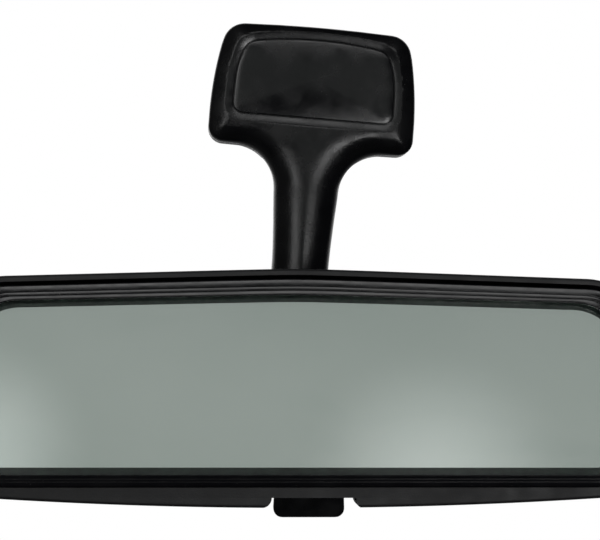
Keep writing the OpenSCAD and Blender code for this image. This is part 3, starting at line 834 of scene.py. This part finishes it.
def add_light(name, azimuth, elevation, distance, size, power):
    """A soft box aimed at the mirror. Azimuth 0 is in front of the glass and 90 to its right."""
    a, e = math.radians(azimuth), math.radians(elevation)
    aim = Vector((0, -0.03, -0.06))
    towards = Vector((math.sin(a) * math.cos(e), -math.cos(a) * math.cos(e), math.sin(e)))
    data = bpy.data.lights.new(name, "AREA")
    data.shape = "RECTANGLE"
    data.size, data.size_y = size
    data.energy = power
    light = bpy.data.objects.new(name, data)
    light.location = aim + towards * distance
    light.rotation_euler = towards.to_track_quat("Z", "Y").to_euler()
    light.visible_camera = False
    bpy.context.scene.collection.objects.link(light)


def light_studio():
    """White behind the mirror, and in front of it a dark room with a grey part.

    The grey part has two paler patches for the glass to show, the white one darkens below the
    horizon, and the camera itself sees plain white.
    """
    world = bpy.data.worlds.new("studio")
    bpy.context.scene.world = world
    world.use_nodes = True
    s = Nodes(world.node_tree)
    white = colour(1, 1, 1)
    towards = s.tree.nodes.new("ShaderNodeTexCoord").outputs["Generated"]
    split = s.tree.nodes.new("ShaderNodeSeparateXYZ")
    s.tree.links.new(towards, split.inputs[0])
    side, away, height = (split.outputs[axis] for axis in "XYZ")
    across = s.node("ShaderNodeCombineXYZ", {"X": side, "Z": height})
    lit = s.sums("MULTIPLY", s.remap(height, *LIT_FROM), s.remap(height, *LIT_TO, 1.0, 0.0))
    lit = s.sums("MULTIPLY", lit, s.remap(s.sums("ABSOLUTE", side), *LIT_SIDE, 1.0, 0.0))
    unlit = s.mix(s.remap(side, -0.5, 0.1), LEFT_DARK, RIGHT_DARK)
    grey = s.mix(s.remap(height, 0.12, 0.22), FRONT_GREY, FRONT_HIGH)
    front = s.mix(lit, unlit, grey)
    for centre, size, gain in GLOW:
        gap = s.node("ShaderNodeVectorMath", {0: across, 1: centre}, output=1, operation="DISTANCE")
        front = s.mix(s.remap(gap, 0.0, size, gain, 0.0), front, white)
    behind = s.sums("MULTIPLY", s.remap(away, 0.3, 0.7), s.remap(height, -0.12, 0.02, 0.15, 1.0))
    room = s.mix(behind, front, white)
    seen = s.node("ShaderNodeLightPath", {}, output="Is Camera Ray")
    background = s.tree.nodes["Background"]
    s.tree.links.new(s.mix(seen, room, white), background.inputs["Color"])
    background.inputs["Strength"].default_value = 1.0
    add_light("left_box", -27, 3, 1.2, (0.18, 0.8), 1.6)
    add_light("right_box", 22, -9, 1.2, (0.16, 0.36), 2.1)
    add_light("low_box", 11, -12, 1.2, (0.16, 0.2), 0.6)
    add_light("top_box", 0, 34, 1.4, (1.2, 0.22), 2.3)


def add_floor():
    """A pale round floor under the mirror."""
    floor_z, radius = -0.32, 1.1
    outline = disc(radius, steps=96)
    floor = mesh_object("floor", [(x, y, floor_z) for x, y in outline],
                        [tuple(range(len(outline)))])
    s = Surface("floor", Roughness=0.9, Emission_Color=colour(1, 1, 1), Emission_Strength=0.35)
    pale = s.mix(s.remap(s.noise(3, 3), 0.3, 0.7), colour(0.8, 0.8, 0.8), colour(0.84, 0.84, 0.835))
    floor.data.materials.append(s.set(Base_Color=pale))
    floor.visible_glossy = floor.visible_diffuse = False


# Radiance in front of the glass: dark, with a grey part over these ranges of the direction's height
# and side, which has paler patches of a direction, a size and a gain
LEFT_DARK = colour(0.06, 0.06, 0.06)
RIGHT_DARK = colour(0.012, 0.013, 0.016)
FRONT_GREY = colour(0.375, 0.395, 0.382)
FRONT_HIGH = colour(0.325, 0.345, 0.336)
LIT_FROM, LIT_TO, LIT_SIDE = (0.048, 0.08), (0.25, 0.4), (0.24, 0.4)
GLOW = [((-0.115, 0, 0.088), 0.062, 0.42), ((0.118, 0, 0.086), 0.075, 0.42)]

GRAINED = moulded_plastic("grained_abs", colour(0.003, 0.0031, 0.0037),
                          colour(0.006, 0.0061, 0.0069), 0.25, 1900, 0.000034, edge_wear_and_sheen=0.1)
HOUSING_PLASTIC = moulded_plastic("housing_abs", colour(0.010, 0.0102, 0.011),
                                  colour(0.016, 0.0162, 0.0168), 0.5, 2300, 0.00003)
COVER_PLASTIC = moulded_plastic("cover_abs", colour(0.003, 0.0031, 0.0039),
                                colour(0.006, 0.0062, 0.0072), 0.22, 2400, 0.000014, edge_wear_and_sheen=0.12)
LEVER_PLASTIC = moulded_plastic("lever_abs", colour(0.0015, 0.0015, 0.0018),
                                colour(0.003, 0.003, 0.0034), 0.3, 3200, 0.00001)
GLOSS_PLASTIC = glossy_plastic("bezel_abs")
ZINC = brushed_metal("zinc_steel", colour(0.42, 0.43, 0.45), colour(0.56, 0.57, 0.58), 0.38,
                     spots=0.5)
STUD_STEEL = brushed_metal("bright_steel", colour(0.55, 0.55, 0.56), colour(0.68, 0.68, 0.69),
                           0.2, lines=(1.0, 5.0, 1.0), spots=0.15)
PIN_STEEL = brushed_metal("pin_steel", colour(0.52, 0.53, 0.54), colour(0.66, 0.66, 0.67), 0.26,
                          lines=(6.0, 1.0, 1.0), spots=0.2)
SPRING_STEEL = brushed_metal("spring_steel", colour(0.2, 0.19, 0.19), colour(0.32, 0.3, 0.29), 0.34,
                             lines=(1.0, 1.0, 6.0), spots=0.4)
NATURAL_NYLON = nylon("nylon", colour(0.66, 0.63, 0.55), colour(0.74, 0.72, 0.64))
FILLED_NYLON = nylon("carrier_nylon", colour(0.018, 0.019, 0.021), colour(0.03, 0.031, 0.034))
GLASS = clear_glass("glass")
SILVER = silvering("silvering")
PAINT = backing_paint("backing_paint")
FOAM = foam("foam")

CARRIED = {"stud_nut": ZINC, "rear_seat": NATURAL_NYLON, "front_seat": NATURAL_NYLON,
           "socket_carrier": FILLED_NYLON, "clamp_plate": ZINC, "clamp_screws": ZINC,
           "disc_spring": SPRING_STEEL, "link_pin": PIN_STEEL, "glass_pads": FOAM,
           "pivot_pin": PIN_STEEL, "lever_pin": PIN_STEEL, "lever_spring": SPRING_STEEL,
           "spring_screw": ZINC}
for node_name, node_material in CARRIED.items():
    for place in frame["nodes"][node_name].material_slots:
        place.material = node_material

build_base_arm()
build_cover()
build_plate()
build_stud()
build_housing()
build_bezel()
build_glass()
build_lever()

add_camera()
light_studio()
add_floor()
bpy.context.scene.view_settings.view_transform = "Standard"
